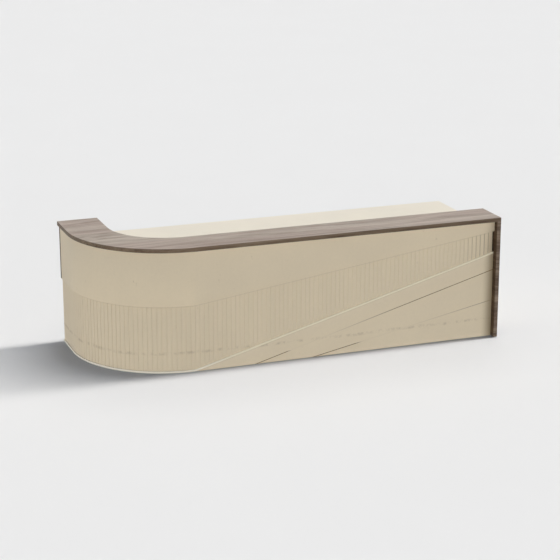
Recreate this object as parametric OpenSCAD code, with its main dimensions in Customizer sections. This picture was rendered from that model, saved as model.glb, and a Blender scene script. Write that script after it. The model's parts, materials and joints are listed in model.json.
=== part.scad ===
// Checkout counter: a raised J-shaped customer ledge over a fluted, curved front,
// with a deep worktop, drawers, a cash drawer and cupboards on the staff side.
// Millimetres, +Z up. The customer stands at -Y, the staff at +Y.
// The origin is on the floor, in the middle of the footprint.

/* [Counter] */
// Length from the curved end to the wooden end panel
counter_l = 3500; // [3400:10:3900]
// Depth from the customer's edge of the ledge to the staff's edge of the worktop
counter_d = 1180; // [1150:5:1230]
// Height of the customer ledge
ledge_h = 1050; // [1030:5:1100]
// Width of the customer ledge
ledge_w = 340; // [280:10:360]
// Radius of the ledge's outer corner
corner_r = 830; // [800:5:840]
// Height of the staff worktop
worktop_h = 920; // [900:5:930]
// Thickness of the ledge, the end panel and the worktop
board_t = 34; // [28:1:38]

/* [Front] */
// Gap from the ledge's front edge back to the face of the fascia
front_setback = 46; // [30:1:60]
// Gap from the ledge's left edge in to the face of the fascia
side_setback = 16; // [10:1:30]
// Height of the fascia's lower edge around the curve
fascia_low_z = 561; // [500:1:620]
// Height of the fascia's lower edge at the end panel
fascia_high_z = 925; // [880:1:940]
// Height of the lower panel's top edge at the end panel
lower_high_z = 746; // [640:1:780]
// Distance along the floor from the curved end to the long inlay
inlay_long_x = 1310; // [1200:10:1500]
// Distance along the floor from the curved end to the short inlay
inlay_short_x = 1800; // [1700:10:2000]
// Height of the short inlay at the end panel
inlay_short_z = 326; // [250:1:400]
// Number of flutes on the straight front
flutes_straight = 70; // [50:1:80]
// Number of flutes around the curve
flutes_curve = 33; // [24:1:38]
// Number of flutes on the return
flutes_return = 8; // [5:1:9]

/* [Staff side] */
// Width of the open shelf unit
shelf_unit_w = 800; // [700:10:850]
// Width of the drawer unit
drawer_unit_w = 500; // [450:10:550]
// Width of the cupboard
cupboard_w = 1000; // [900:10:1050]
// Depth of the storage units
unit_depth = 560; // [520:5:580]
// How far the worktop overhangs the storage units
overhang = 30; // [30:1:40]
// Width of the cash drawer's housing
cash_w = 450; // [410:5:460]
// Height of the cash drawer's housing
cash_h = 110; // [100:1:130]

/* [Hidden] */
$fn = 96;

// Colours
walnut = "#8c7b6c";
cream = "#d9cfb6";
ivory = "#ebe3cd";
bronze = "#9a7f58";
steel = "#b8babc";
plywood = "#c9a678";
graphite = "#3a3b3d";

// The shapes below are laid out from the curved end (x = 0) and the customer's edge (y = 0).
// Layers of the front, measured inwards from the face of the fascia.
skin_t = 18;
fascia_t = skin_t;
lower_off = 7;
strip_off = 6;
flute_off = 13;
flute_t = 23;
core_off = flute_off + flute_t;
inner_off = core_off + skin_t;

// The body's corner is concentric in x with the ledge's corner.
body_r = corner_r - side_setback;
body_cx = corner_r;
body_cy = front_setback + body_r;

// Ends of the front: the end panel on the right, and the end posts of the return at the back.
panel_x = counter_l - board_t;
post_y = counter_d - board_t;
gap = 1;
joint_gap = 0.2;
front_end_x = panel_x - gap;

glide_h = 6;
ledge_under_z = ledge_h - board_t;
worktop_under_z = worktop_h - board_t;

// The accent strip runs round the curve at the floor, then climbs along the straight.
strip_h = 15;
strip_z = glide_h;
strip_top_z = strip_z + strip_h;
front_run = panel_x - body_cx;
lower_slope = (lower_high_z - strip_top_z) / front_run;
fascia_slope = (fascia_high_z - fascia_low_z) / front_run;
short_slope = inlay_short_z / (panel_x - inlay_short_x);
inlay_w = 6;
inlay_depth = 5;
groove_room = 0.1;

// Heights of the three sloping lines at a distance x along the front
function strip_low_at(x) = strip_z + lower_slope * (x - body_cx);
function strip_top_at(x) = strip_low_at(x) + strip_h;
function fascia_low_at(x) = fascia_low_z + fascia_slope * (x - body_cx);

// Flutes
groove_mouth = 9;
groove_floor = 6;
groove_depth = 3;
flutes_end_gap = 12;

// Storage units
unit_t = 18;
back_t = 8;
unit_y1 = counter_d - overhang;
unit_y0 = unit_y1 - unit_depth;
plinth_h = 80;
unit_z0 = plinth_h;
unit_z1 = worktop_under_z;
inner_z0 = unit_z0 + unit_t;
inner_z1 = unit_z1 - unit_t;
filler_w = 90;
shelf_x = side_setback + inner_off + filler_w;
drawer_x = shelf_x + shelf_unit_w + joint_gap;
gable_t = 25;
gable_recess = 10;
gable_x = counter_l - gable_recess - gable_t;
cupboard_x = gable_x - cupboard_w;
bay_x0 = drawer_x + drawer_unit_w;
UNITS = [[shelf_x, shelf_unit_w], [drawer_x, drawer_unit_w], [cupboard_x, cupboard_w]];
rail_w = 80;
shelf_inset = 10;
kick_setback = 32;

// Shelves: [unit's x, unit's width, height of the underside, setback of the front edge]
door_clearance = 12;
shelf_space = inner_z1 - inner_z0;
SHELVES = [
    [shelf_x, shelf_unit_w, inner_z0 + shelf_space / 3, shelf_inset],
    [shelf_x, shelf_unit_w, inner_z0 + shelf_space * 2 / 3, shelf_inset],
    [cupboard_x, cupboard_w, inner_z0 + shelf_space / 2, unit_t + door_clearance]
];
pin_r = 2.5;
pin_in = 9;
running = 0.05;
pin_inset = 60;

// Drawers, from the bottom up
front_gap = 3;
fronts_space = shelf_space - 4 * front_gap;
FRONT_H = [for (share = [0.44, 0.33, 0.23]) fronts_space * share];
FRONT_Z = [
    inner_z0 + front_gap,
    inner_z0 + 2 * front_gap + FRONT_H[0],
    inner_z0 + 3 * front_gap + FRONT_H[0] + FRONT_H[1]
];
runner_gap = 13;
runner_l = 400;
runner_h = 46;
runner_setback = 20;
slide_h = 30;
sheet = 1.5;
channel_d = 9;
box_t = 12;
box_lift = 24;
box_low = 26;
box_base_t = 6;
box_l = 490;
box_y1 = unit_y1 - unit_t;

// Bar pulls
pull_r = 5;
post_r = 4;
stud_r = 2;
pull_stand = 22;
pull_pitch = 128;
pull_over = 16;
pull_drop = 50;

// Cash drawer, in the middle of the open bay
bay_w = cupboard_x - bay_x0;
cash_x0 = bay_x0 + (bay_w - cash_w) / 2;
cash_z0 = worktop_under_z - cash_h;
cash_front_t = 6;
cash_y1 = unit_y1 - cash_front_t;
cash_l = 426;
shell = 2;
cash_side_gap = 1;
tray_x0 = cash_x0 + shell + runner_gap;
tray_w = cash_w - 2 * shell - 2 * runner_gap;
tray_l = 410;
tray_lift = 10;
tray_z0 = cash_z0 + tray_lift;
tray_h = 84;
insert_gap = 1;
insert_wall = 3;
lock_r = 9;
lock_flange_r = 12;

// Doors and their hinges
door_z0 = inner_z0 + front_gap;
door_h = shelf_space - 2 * front_gap;
door_w = (cupboard_w - 2 * unit_t - 3 * front_gap) / 2;
leaf_t = 2;
leaf_w = 30;
knuckle_r = 4.5;
knuckle_h = 20;
knuckle_gap = 0.4;
leaf_h = 3 * knuckle_h;
hinge_pin_r = 2.5;
hinge_out = 5;
hinge_inset = 100;
hinge_lx = cupboard_x + unit_t + front_gap / 2;
hinge_rx = cupboard_x + cupboard_w - unit_t - front_gap / 2;
hinge_y = unit_y1 + hinge_out;
HINGE_Z = [door_z0 + hinge_inset, door_z0 + door_h - hinge_inset];

// Grommets in the worktop
grommet_r = 30;
flange_r = 40;
flange_t = 3;
tube_in_r = 27;
lip_in_r = 24;
tray_d = 90;
grommet_y = unit_y0 + skin_t + tray_d / 2;
grommet_in = 150;
GROMMET_X = [bay_x0 + grommet_in, cupboard_x - grommet_in];
slot_w = 16;
slot_in = 10;

// Brackets that hold the worktop to the gable and to the studs
bracket_leg = 40;
bracket_w = 30;
bracket_t = 3;
screw_r = 2.4;
screw_head_r = 4.5;
screw_head_h = 2;
screw_l = 20;
stud_w = 45;
screw_in = 24;
bracket_in = 60;
stud_first = 70;
stud_last = 130;
stud_n = 5;
stud_step = (front_run - stud_first - stud_last) / (stud_n - 1);
STUD_X = [for (i = [0:stud_n - 1]) body_cx + stud_first + i * stud_step];
STUD_A = [195, 225, 255];
stud_return_in = 140;

// Moves the layout's corner to the middle of the footprint
module place() {
    translate([-counter_l / 2, -counter_d / 2, 0]) children();
}

module box(x0, y0, z0, x1, y1, z1) {
    translate([x0, y0, z0]) cube([x1 - x0, y1 - y0, z1 - z0]);
}

// A wall that follows the J: the return, the quarter curve and, past the curve, the straight front
module j_wall(cx, cy, r_out, r_in, z0, z1, x_end, y_end) {
    translate([cx, cy, z0])
        rotate_extrude(angle = 90, start = 180)
            translate([r_in, 0]) square([r_out - r_in, z1 - z0]);
    if (x_end > cx) box(cx, cy - r_out, z0, x_end, cy - r_in, z1);
    box(cx - r_out, cy, z0, cx - r_in, y_end, z1);
}

// The same wall, given as two distances in from the face of the fascia
module layer(off_a, off_b, z0, z1, x_end, y_end) {
    j_wall(body_cx, body_cy, body_r - off_a, body_r - off_b, z0, z1, x_end, y_end);
}

// A flat board in the front's plane, drawn as an outline in x and z
module front_board(points, off_a, off_b) {
    translate([0, front_setback + off_b, 0])
        rotate([90, 0, 0]) linear_extrude(off_b - off_a) polygon(points);
}

// The curve and the return of a layer, without its straight
module bend(off_a, off_b, z0, z1, y_end) {
    layer(off_a, off_b, z0, z1, body_cx, y_end);
}

// The triangle cut away under or over the mitre where the ledge meets the end panel
module mitre(points) {
    translate([0, ledge_w + gap, 0])
        rotate([90, 0, 0]) linear_extrude(ledge_w + 2 * gap) polygon(points);
}

module ledge_top() {
    color(walnut) place() difference() {
        j_wall(corner_r, corner_r, corner_r, corner_r - ledge_w,
            ledge_under_z, ledge_h, counter_l, counter_d);
        mitre([[panel_x, ledge_under_z], [panel_x - gap, ledge_under_z - gap],
            [counter_l + gap, ledge_under_z - gap], [counter_l + gap, ledge_h + gap]]);
    }
}

module end_panel() {
    color(walnut) place() difference() {
        box(panel_x, 0, glide_h, counter_l, ledge_w, ledge_h);
        mitre([[panel_x - gap, ledge_under_z - gap], [counter_l + gap, ledge_h + gap],
            [panel_x - gap, ledge_h + gap]]);
    }
}

// Smooth upper band: level round the curve, then its lower edge climbs along the straight
module fascia() {
    color(cream) place() union() {
        bend(0, fascia_t, fascia_low_z, ledge_under_z, post_y);
        front_board([[body_cx, fascia_low_z], [front_end_x, fascia_low_at(front_end_x)],
            [front_end_x, ledge_under_z], [body_cx, ledge_under_z]], 0, fascia_t);
    }
}

// Wooden post that closes the back end of the fascia
module fascia_end_cap() {
    color(walnut) place()
        box(side_setback, post_y, fascia_low_z, side_setback + inner_off, counter_d, ledge_under_z);
}

module return_end_post() {
    color(cream) place()
        box(side_setback + flute_off, post_y, strip_top_z,
            side_setback + inner_off, counter_d, fascia_low_z);
}

// One vertical groove, cut down from the face of the panel towards -Y
module groove(z1) {
    linear_extrude(z1) polygon([
        [-groove_mouth / 2 - gap / 2, -gap], [groove_mouth / 2 + gap / 2, -gap],
        [groove_floor / 2, groove_depth], [-groove_floor / 2, groove_depth]
    ]);
}

module flute_grooves() {
    straight_l = panel_x - flutes_end_gap - body_cx;
    straight_pitch = straight_l / flutes_straight;
    for (i = [1:flutes_straight - 1])
        translate([body_cx + i * straight_pitch, front_setback + flute_off, 0]) groove(ledge_h);
    for (i = [0:flutes_curve])
        translate([body_cx, body_cy, 0]) rotate(-90 * i / flutes_curve)
            translate([0, -(body_r - flute_off), 0]) groove(ledge_h);
    return_pitch = (post_y - body_cy) / flutes_return;
    for (i = [1:flutes_return - 1])
        translate([side_setback + flute_off, body_cy + i * return_pitch, 0]) rotate(-90)
            groove(ledge_h);
}

// Grooved panel that shows between the fascia and the accent strip
module fluted_panel() {
    end_x = panel_x - flutes_end_gap;
    color(cream) place() difference() {
        union() {
            bend(flute_off, core_off, strip_top_z + joint_gap, fascia_low_z, post_y);
            front_board([[body_cx, strip_top_z + joint_gap], [end_x, strip_top_at(end_x) + joint_gap],
                [end_x, fascia_low_at(end_x)], [body_cx, fascia_low_z]], flute_off, core_off);
        }
        flute_grooves();
    }
}

// Outline of an inlay: x at the floor, its slope and right-hand end, and extra room around it
function inlay_outline(x0, slope, x1, room) = [
    [x0 - room / slope, 0], [x0 + (inlay_w + room) / slope, 0],
    [x1, slope * (x1 - x0) - inlay_w - room], [x1, slope * (x1 - x0) + room]
];

// The two inlays; with some room and a longer reach they are the grooves that hold them
module inlay_shapes(room, reach) {
    for (inlay = [[inlay_long_x, lower_slope], [inlay_short_x, short_slope]])
        front_board(inlay_outline(inlay[0], inlay[1], front_end_x + reach, room),
            lower_off - reach, lower_off + inlay_depth);
}

module lower_panel() {
    color(cream) place() difference() {
        front_board([[body_cx, glide_h], [front_end_x, glide_h],
            [front_end_x, strip_low_at(front_end_x)]], lower_off, lower_off + skin_t);
        inlay_shapes(groove_room, gap);
    }
}

module inlay_strips() {
    color(bronze) place() intersection() {
        inlay_shapes(0, 0);
        box(0, 0, glide_h, counter_l, counter_d, ledge_h);
    }
}

// Ivory lipping: the curve's base rail and the top edge of the lower panel in one run
module accent_strip() {
    color(ivory) place() union() {
        bend(strip_off, core_off, strip_z, strip_top_z, counter_d);
        front_board([[body_cx, strip_z], [front_end_x, strip_low_at(front_end_x)],
            [front_end_x, strip_top_at(front_end_x)], [body_cx, strip_top_z]],
            strip_off, core_off);
    }
}

module core_wall() {
    color(plywood) place()
        layer(core_off, inner_off, glide_h, ledge_under_z, front_end_x, post_y);
}

// Battens that pack the fascia and the lower panel out from the core wall
module front_battens() {
    batten_h = 44;
    lower_start_x = body_cx + 400;
    upper_end_x = front_end_x - flutes_end_gap;
    upper_z = fascia_low_z + batten_h / 2;
    color(plywood) place() {
        layer(fascia_t, core_off, ledge_under_z - batten_h, ledge_under_z, front_end_x, post_y);
        front_board([[body_cx, upper_z],
            [upper_end_x, fascia_low_at(upper_end_x) + batten_h / 2],
            [upper_end_x, ledge_under_z - batten_h - joint_gap],
            [body_cx, upper_z + batten_h]], fascia_t, core_off);
        front_board([[lower_start_x, glide_h], [front_end_x, glide_h],
            [front_end_x, glide_h + batten_h], [lower_start_x, glide_h + batten_h]],
            lower_off + skin_t, core_off);
        front_board([[lower_start_x, strip_low_at(lower_start_x) - batten_h],
            [front_end_x, strip_low_at(front_end_x) - batten_h],
            [front_end_x, strip_low_at(front_end_x) - joint_gap],
            [lower_start_x, strip_low_at(lower_start_x) - joint_gap]],
            lower_off + skin_t, core_off);
    }
}

// Uprights against the core: along the straight, around the curve and on the return
module wall_studs() {
    base_z = glide_h + skin_t;
    stud_y = front_setback + inner_off;
    color(plywood) place() {
        difference() {
            for (x = STUD_X)
                box(x, stud_y, base_z, x + stud_w, stud_y + stud_w, worktop_under_z);
            for (p = stud_brackets()) bracket_at(p) wall_screw_hole();
        }
        for (a = STUD_A) translate([body_cx, body_cy, 0]) rotate(a)
            box(body_r - inner_off - gap - stud_w, -stud_w / 2, base_z,
                body_r - inner_off - gap, stud_w / 2, worktop_under_z - joint_gap);
        translate([side_setback + inner_off, body_cy + stud_return_in, base_z])
            cube([stud_w, stud_w, worktop_under_z - base_z]);
    }
}

module sole_plate() {
    color(plywood) place()
        layer(inner_off, inner_off + stud_w, glide_h, glide_h + skin_t, gable_x, unit_y1 - skin_t);
}

// Upright dividers that stand on the worktop and carry the ledge
module ledge_dividers() {
    divider_n = 5;
    first = 60;
    last = 80;
    under_edge = 30;
    divider_l = ledge_w - front_setback - inner_off - under_edge;
    divider_h = ledge_under_z - worktop_h;
    step = (front_run - first - last) / (divider_n - 1);
    color(cream) place() {
        for (i = [0:divider_n - 1])
            translate([body_cx + first + i * step, front_setback + inner_off, worktop_h])
                cube([skin_t, divider_l, divider_h]);
        for (a = [210, 240])
            translate([body_cx, body_cy, worktop_h]) rotate(a)
                translate([body_r - inner_off - gap - divider_l, -skin_t / 2, 0])
                    cube([divider_l, skin_t, divider_h]);
        for (y = [body_cy + skin_t, post_y - skin_t])
            translate([side_setback + inner_off, y, worktop_h])
                cube([divider_l, skin_t, divider_h]);
    }
}

module worktop() {
    off = inner_off + gap;
    r = body_r - off;
    color(ivory) place() difference() {
        union() {
            translate([body_cx, body_cy, worktop_under_z])
                rotate_extrude(angle = 90, start = 180) square([r, board_t]);
            box(body_cx, body_cy - r, worktop_under_z, front_end_x, body_cy, worktop_h);
            box(body_cx - r, body_cy, worktop_under_z, front_end_x, counter_d, worktop_h);
            box(front_end_x - gap, ledge_w + gap, worktop_under_z,
                counter_l - gable_recess, counter_d, worktop_h);
        }
        for (x = GROMMET_X)
            translate([x, grommet_y, worktop_under_z - gap]) cylinder(r = grommet_r, h = board_t + 2 * gap);
        for (p = bracket_places()) bracket_at(p) worktop_screw_hole();
    }
}

module grommet_liners() {
    lip_z = worktop_h - flange_t;
    color(graphite) place() for (x = GROMMET_X) translate([x, grommet_y, 0]) difference() {
        union() {
            translate([0, 0, worktop_h]) cylinder(r = flange_r, h = flange_t);
            translate([0, 0, worktop_under_z]) cylinder(r = grommet_r - running, h = board_t);
        }
        translate([0, 0, worktop_under_z - gap]) cylinder(r = lip_in_r, h = board_t + flange_t + 2 * gap);
        translate([0, 0, worktop_h]) cylinder(r = tube_in_r, h = flange_t + gap);
        translate([0, 0, worktop_under_z - gap])
            cylinder(r = tube_in_r, h = lip_z - worktop_under_z + gap);
    }
}

// Round cap with a slot for cables; it turns in its liner
module grommet_cap(i) {
    color(graphite) place() translate([GROMMET_X[i], grommet_y, worktop_h]) difference() {
        cylinder(r = tube_in_r - running, h = flange_t);
        translate([slot_in, -slot_w / 2, -gap]) cube([grommet_r, slot_w, flange_t + 2 * gap]);
    }
}

module grommet_cap_left() { grommet_cap(0); }
module grommet_cap_right() { grommet_cap(1); }

module right_gable() {
    color(cream) place() difference() {
        box(gable_x, ledge_w, glide_h, gable_x + gable_t, unit_y1, worktop_under_z);
        for (p = gable_brackets()) bracket_at(p) wall_screw_hole();
    }
}

module side_filler() {
    color(cream) place()
        box(side_setback + inner_off, unit_y1 - skin_t, glide_h, shelf_x, unit_y1, worktop_under_z);
}

// Panel across the back of the open bay
module bay_lining() {
    color(cream) place()
        box(bay_x0, unit_y0, glide_h, cupboard_x, unit_y0 + skin_t, worktop_under_z);
}

module unit_sides() {
    color(cream) place() difference() {
        for (u = UNITS) for (x = [u[0], u[0] + u[1] - unit_t])
            box(x, unit_y0, unit_z0, x + unit_t, unit_y1, unit_z1);
        shelf_pin_set(running);
    }
}

module unit_bottoms() {
    color(cream) place() for (u = UNITS)
        box(u[0] + unit_t, unit_y0, unit_z0, u[0] + u[1] - unit_t, unit_y1, inner_z0);
}

module unit_backs() {
    color(cream) place() for (u = UNITS)
        box(u[0] + unit_t, unit_y0, inner_z0, u[0] + u[1] - unit_t, unit_y0 + back_t, unit_z1);
}

module unit_top_rails() {
    color(cream) place() for (u = UNITS) for (y = [unit_y0 + back_t, unit_y1 - rail_w])
        box(u[0] + unit_t, y, inner_z1, u[0] + u[1] - unit_t, y + rail_w, unit_z1);
}

module shelves() {
    color(cream) place() for (s = SHELVES)
        box(s[0] + unit_t + gap, unit_y0 + back_t + gap, s[2], s[0] + s[1] - unit_t - gap,
            unit_y1 - s[3], s[2] + unit_t);
}

// Pins under each end of each shelf; extra widens them for their holes
module shelf_pin_set(extra) {
    for (s = SHELVES) for (y = [unit_y0 + pin_inset, unit_y1 - s[3] - pin_inset])
        for (x = [s[0] + unit_t, s[0] + s[1] - unit_t])
            translate([x - pin_in - extra, y, s[2] - pin_r]) rotate([0, 90, 0])
                cylinder(r = pin_r + extra, h = 2 * (pin_in + extra));
}

module shelf_pins() {
    color(steel) place() shelf_pin_set(0);
}

// Kick boards under the two runs of units, with cross pieces between them
module plinths() {
    front_y = unit_y1 - kick_setback;
    back_y = unit_y0 + kick_setback;
    color(graphite) place() for (run = [[shelf_x, bay_x0], [cupboard_x, gable_x]]) {
        box(run[0], front_y - skin_t, glide_h, run[1], front_y, plinth_h);
        box(run[0], back_y, glide_h, run[1], back_y + skin_t, plinth_h);
        for (x = [run[0], (run[0] + run[1] - skin_t) / 2, run[1] - skin_t])
            box(x, back_y + skin_t + joint_gap, glide_h,
                x + skin_t, front_y - skin_t - joint_gap, plinth_h);
    }
}

module foot_glides() {
    glide_r = 14;
    inset = 40;
    wall_y = front_setback + inner_off + stud_w / 2;
    plinth_y = unit_y1 - kick_setback - skin_t / 2;
    plinth_back_y = unit_y0 + kick_setback + skin_t / 2;
    color(graphite) place() {
        for (y = [inset, ledge_w - inset]) translate([counter_l - board_t / 2, y, 0])
            cylinder(r = glide_r, h = glide_h);
        for (y = [unit_y0, unit_y1 - inset]) translate([gable_x + gable_t / 2, y, 0])
            cylinder(r = gable_t / 2, h = glide_h);
        for (x = STUD_X) translate([x, wall_y, 0]) cylinder(r = glide_r, h = glide_h);
        for (a = STUD_A) translate([body_cx, body_cy, 0]) rotate(a)
            translate([body_r - inner_off - stud_w / 2, 0, 0]) cylinder(r = glide_r, h = glide_h);
        translate([side_setback + inner_off + stud_w / 2, body_cy, 0])
            cylinder(r = glide_r, h = glide_h);
        for (y = [plinth_y, plinth_back_y]) for (run = [[shelf_x, bay_x0], [cupboard_x, gable_x]])
            for (x = [run[0] + inset, (run[0] + run[1]) / 2, run[1] - inset])
                translate([x, y, 0]) cylinder(r = glide_r, h = glide_h);
    }
}

// Channel of a drawer runner on a wall at x; side is 1 for a wall on the left, -1 on the right
module outer_channel(x, side, y1, z) {
    translate([x, y1 - runner_l, z]) mirror([side == 1 ? 0 : 1, 0, 0]) difference() {
        translate([0, 0, -runner_h / 2]) cube([channel_d, runner_l, runner_h]);
        translate([sheet, -gap, -runner_h / 2 + sheet])
            cube([channel_d, runner_l + 2 * gap, runner_h - 2 * sheet]);
    }
}

// Sliding member on the drawer's side; its channel faces the wall
module inner_channel(x, side, y1, z) {
    translate([x, y1 - runner_l, z]) mirror([side == 1 ? 0 : 1, 0, 0]) difference() {
        translate([runner_gap - channel_d, 0, -slide_h / 2]) cube([channel_d, runner_l, slide_h]);
        translate([runner_gap - channel_d - gap, -gap, -slide_h / 2 + sheet])
            cube([channel_d + gap - sheet, runner_l + 2 * gap, slide_h - 2 * sheet]);
    }
}

function runner_z(i) = FRONT_Z[i] + box_lift + runner_h / 2 + box_low / 2;
cash_runner_z = tray_z0 + tray_h / 2;
drawer_wall_l = drawer_x + unit_t;
drawer_wall_r = drawer_x + drawer_unit_w - unit_t;
cash_wall_l = cash_x0 + shell;
cash_wall_r = cash_x0 + cash_w - shell;
runner_y1 = box_y1 - runner_setback;
cash_runner_y1 = cash_y1 - runner_setback / 2;

module runner_outers() {
    color(steel) place() {
        for (i = [0:2]) {
            outer_channel(drawer_wall_l, 1, runner_y1, runner_z(i));
            outer_channel(drawer_wall_r, -1, runner_y1, runner_z(i));
        }
        outer_channel(cash_wall_l, 1, cash_runner_y1, cash_runner_z);
        outer_channel(cash_wall_r, -1, cash_runner_y1, cash_runner_z);
    }
}

module drawer_runners(i) {
    color(steel) place() {
        inner_channel(drawer_wall_l, 1, runner_y1, runner_z(i));
        inner_channel(drawer_wall_r, -1, runner_y1, runner_z(i));
    }
}

// Bores for a bar pull's studs, or the studs themselves; axis along Y
module stud_pair(r, y0, y1) {
    for (s = [-1, 1]) translate([s * pull_pitch / 2, y0, 0]) rotate([-90, 0, 0])
        cylinder(r = r, h = y1 - y0);
}

// Bar pull on a face at y = 0, its bar along X
module bar_pull() {
    union() {
        stud_pair(stud_r, -unit_t, gap);
        stud_pair(post_r, 0, pull_stand);
        translate([-pull_pitch / 2 - pull_over, pull_stand, 0]) rotate([0, 90, 0])
            cylinder(r = pull_r, h = pull_pitch + 2 * pull_over);
    }
}

drawer_mid_x = drawer_x + drawer_unit_w / 2;
function pull_z(i) = FRONT_Z[i] + FRONT_H[i] - pull_drop;

module drawer_front(i) {
    color(cream) place() difference() {
        box(drawer_wall_l + front_gap, box_y1, FRONT_Z[i],
            drawer_wall_r - front_gap, unit_y1, FRONT_Z[i] + FRONT_H[i]);
        translate([drawer_mid_x, 0, pull_z(i)]) stud_pair(stud_r + running, box_y1 - gap, unit_y1 + gap);
    }
}

module drawer_pull(i) {
    color(bronze) place() translate([drawer_mid_x, unit_y1, pull_z(i)]) bar_pull();
}

// Four boards and a base; the front board is screwed to the drawer's face
module drawer_box(i) {
    x0 = drawer_wall_l + runner_gap;
    x1 = drawer_wall_r - runner_gap;
    y0 = box_y1 - box_l;
    z0 = FRONT_Z[i] + box_lift;
    z1 = FRONT_Z[i] + FRONT_H[i] - box_low;
    in_x0 = x0 + box_t + joint_gap;
    in_x1 = x1 - box_t - joint_gap;
    stud_well = 6;
    color(plywood) place() difference() {
        union() {
            box(x0, y0, z0, x0 + box_t, box_y1, z1);
            box(x1 - box_t, y0, z0, x1, box_y1, z1);
            box(in_x0, y0, z0, in_x1, y0 + box_t, z1);
            box(in_x0, box_y1 - box_t, z0, in_x1, box_y1, z1);
            box(in_x0, y0 + box_t + joint_gap, z0 + box_t / 2,
                in_x1, box_y1 - box_t - joint_gap, z0 + box_t / 2 + box_base_t);
        }
        translate([drawer_mid_x, 0, pull_z(i)]) stud_pair(stud_well, box_y1 - box_t - gap, box_y1 + gap);
    }
}

module drawer_bottom_front() { drawer_front(0); }
module drawer_bottom_box() { drawer_box(0); }
module drawer_bottom_runners() { drawer_runners(0); }
module drawer_bottom_pull() { drawer_pull(0); }
module drawer_middle_front() { drawer_front(1); }
module drawer_middle_box() { drawer_box(1); }
module drawer_middle_runners() { drawer_runners(1); }
module drawer_middle_pull() { drawer_pull(1); }
module drawer_top_front() { drawer_front(2); }
module drawer_top_box() { drawer_box(2); }
module drawer_top_runners() { drawer_runners(2); }
module drawer_top_pull() { drawer_pull(2); }

// Steel sleeve hung under the worktop, open to the staff side
module cash_housing() {
    y0 = cash_y1 - cash_l;
    color(graphite) place() difference() {
        box(cash_x0, y0, cash_z0, cash_x0 + cash_w, cash_y1 - gap, worktop_under_z);
        box(cash_x0 + shell, y0 + shell, cash_z0 + shell, cash_x0 + cash_w - shell, cash_y1,
            worktop_under_z - shell);
    }
}

lock_x = cash_x0 + cash_w / 2;
lock_z = cash_z0 + cash_h / 2;

module cash_front() {
    color(graphite) place() difference() {
        box(cash_x0, cash_y1, cash_z0 + cash_side_gap, cash_x0 + cash_w, unit_y1,
            worktop_under_z - cash_side_gap);
        translate([lock_x, cash_y1 - gap, lock_z]) rotate([-90, 0, 0])
            cylinder(r = lock_r + running, h = cash_front_t + 2 * gap);
    }
}

module cash_tray() {
    y0 = cash_y1 - tray_l;
    color(steel) place() difference() {
        box(tray_x0, y0, tray_z0, tray_x0 + tray_w, cash_y1, tray_z0 + tray_h);
        box(tray_x0 + sheet, y0 + sheet, tray_z0 + sheet,
            tray_x0 + tray_w - sheet, cash_y1 - sheet, tray_z0 + tray_h + gap);
        translate([lock_x, cash_y1 - 2 * gap, lock_z]) rotate([-90, 0, 0])
            cylinder(r = lock_r + running, h = 4 * gap);
    }
}

// Moulded insert: five note bays at the back and five coin cups at the front
module cash_insert() {
    bays = 5;
    x0 = tray_x0 + sheet + insert_gap;
    y0 = cash_y1 - tray_l + sheet + insert_gap;
    w = tray_w - 2 * (sheet + insert_gap);
    lock_room = 40;
    l = tray_l - 2 * sheet - insert_gap - lock_room;
    h = 56;
    cell_w = (w - insert_wall) / bays - insert_wall;
    note_share = 0.6;
    cup_curve = 0.72;
    note_l = l * note_share;
    cup_l = l - note_l - 3 * insert_wall;
    cup_r = cup_l * cup_curve;
    color(graphite) place() translate([x0, y0, tray_z0 + sheet]) difference() {
        cube([w, l, h]);
        for (i = [0:bays - 1]) translate([insert_wall + i * (cell_w + insert_wall), 0, 0]) {
            translate([0, insert_wall, insert_wall]) cube([cell_w, note_l, h]);
            intersection() {
                translate([0, note_l + 2 * insert_wall, insert_wall]) cube([cell_w, cup_l, h]);
                translate([0, note_l + 2 * insert_wall + cup_l / 2, insert_wall + cup_r])
                    rotate([0, 90, 0]) cylinder(r = cup_r, h = cell_w);
            }
        }
    }
}

module cash_runners() {
    color(steel) place() {
        inner_channel(cash_wall_l, 1, cash_runner_y1, cash_runner_z);
        inner_channel(cash_wall_r, -1, cash_runner_y1, cash_runner_z);
    }
}

// Key barrel with its flange, keyway and rear cam
module cash_lock() {
    reach = 24;
    cam_w = 10;
    cam_l = 26;
    flange_h = 2.5;
    key_w = 2;
    key_h = 9;
    color(steel) place() translate([lock_x, unit_y1, lock_z]) rotate([-90, 0, 0]) difference() {
        union() {
            translate([0, 0, -reach]) cylinder(r = lock_r, h = reach + flange_h);
            translate([0, 0, running]) cylinder(r = lock_flange_r, h = flange_h);
            translate([-cam_w / 2, -cam_l, -reach - leaf_t]) cube([cam_w, cam_l, leaf_t]);
            translate([0, 0, -reach - leaf_t]) cylinder(r = cam_w / 2, h = leaf_t + gap);
        }
        translate([-key_w / 2, -key_h / 2, flange_h - leaf_t]) cube([key_w, key_h, leaf_t + gap]);
    }
}

module door(x0, pull_x) {
    color(cream) place() difference() {
        box(x0, unit_y1 - unit_t, door_z0, x0 + door_w, unit_y1, door_z0 + door_h);
        translate([pull_x, 0, door_z0 + door_h - pull_pitch]) rotate([0, 90, 0])
            stud_pair(stud_r + running, unit_y1 - unit_t - gap, unit_y1 + gap);
    }
}

door_l_x = cupboard_x + unit_t + front_gap;
door_r_x = door_l_x + door_w + front_gap;
door_pull_in = 40;
door_l_pull = door_l_x + door_w - door_pull_in;
door_r_pull = door_r_x + door_pull_in;

module door_pull(x) {
    color(bronze) place() translate([x, unit_y1, door_z0 + door_h - pull_pitch])
        rotate([0, 90, 0]) bar_pull();
}

module door_left() { door(door_l_x, door_l_pull); }
module door_right() { door(door_r_x, door_r_pull); }
module door_left_pull() { door_pull(door_l_pull); }
module door_right_pull() { door_pull(door_r_pull); }

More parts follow.
